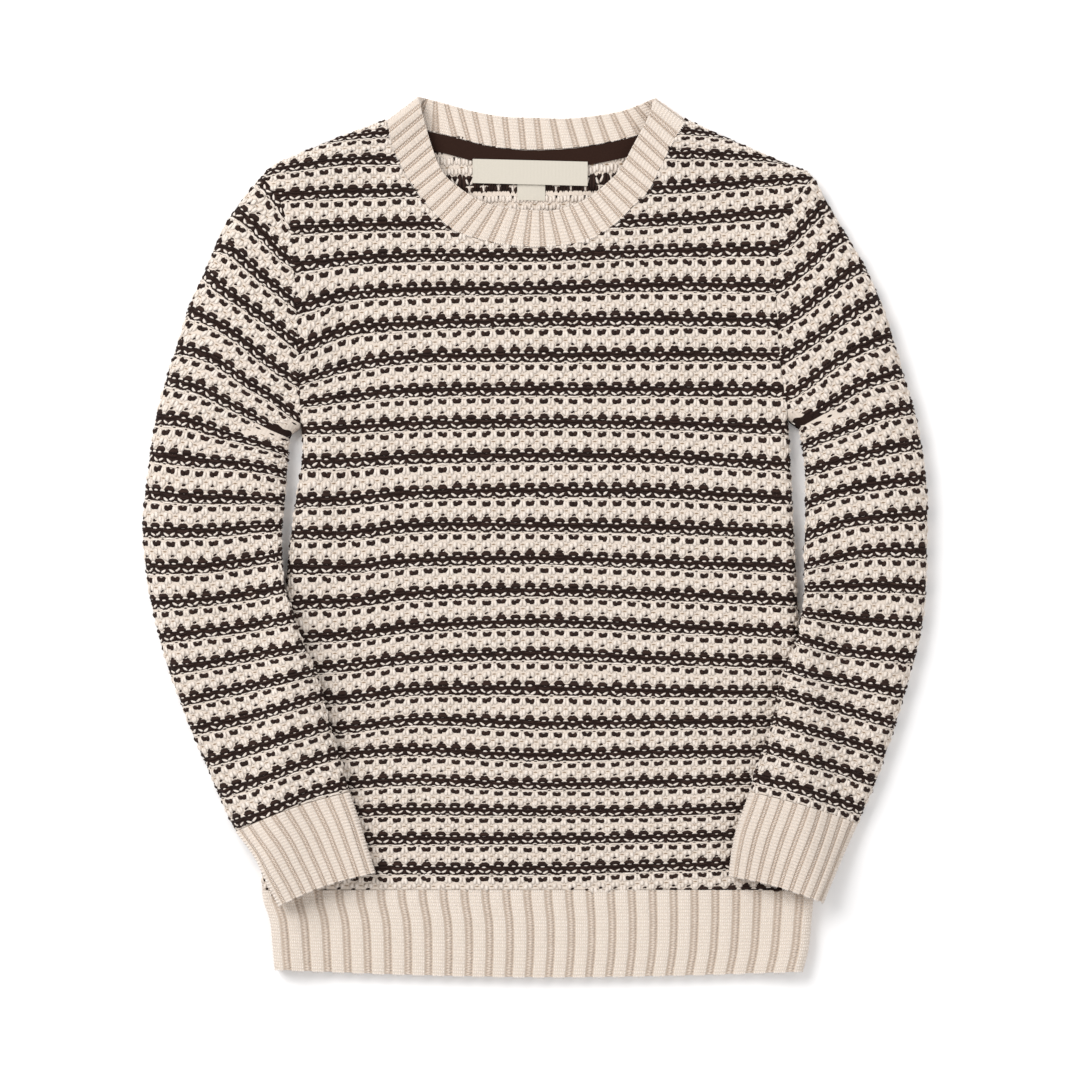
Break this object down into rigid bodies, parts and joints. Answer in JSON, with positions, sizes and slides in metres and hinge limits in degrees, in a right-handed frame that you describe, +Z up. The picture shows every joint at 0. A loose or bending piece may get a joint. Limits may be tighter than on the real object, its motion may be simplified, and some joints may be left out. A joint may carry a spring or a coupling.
{
  "type": "crewneck sweater",
  "caption": "Child's crewneck sweater in a small two-colour knit with plain ribbed neckband, cuffs and hem, lying flat on its back with both forearms crossing the body.",
  "frame": {"origin": "middle of the laid garment's outline in plan, on the surface that it lies on", "axes": "+X to the viewer's right, +Y from the hem to the neck, +Z up out of the surface, toward the viewer"},
  "size_m": [0.4156, 0.4666, 0.027],
  "materials": {
    "patterned_knit": "soft wool-blend jersey, cream ground with dark brown figures",
    "rib_knit": "soft wool-blend rib, cream",
    "neck_tape": "dark brown cotton twill tape",
    "woven_label": "smooth woven ribbon, off-white, bare"
  },
  "bodies": {
    "root": {"body_front": "patterned_knit", "body_back": "patterned_knit", "hem_rib_front": "rib_knit", "hem_rib_back": "rib_knit", "sleeve_left": "patterned_knit", "sleeve_left_under": "patterned_knit", "sleeve_right": "patterned_knit", "sleeve_right_under": "patterned_knit", "cuff_left": "rib_knit", "cuff_right": "rib_knit", "neckband": "rib_knit", "neck_tape": "neck_tape", "neck_label": "woven_label", "size_tab": "woven_label"}
  },
  "joints": []
}
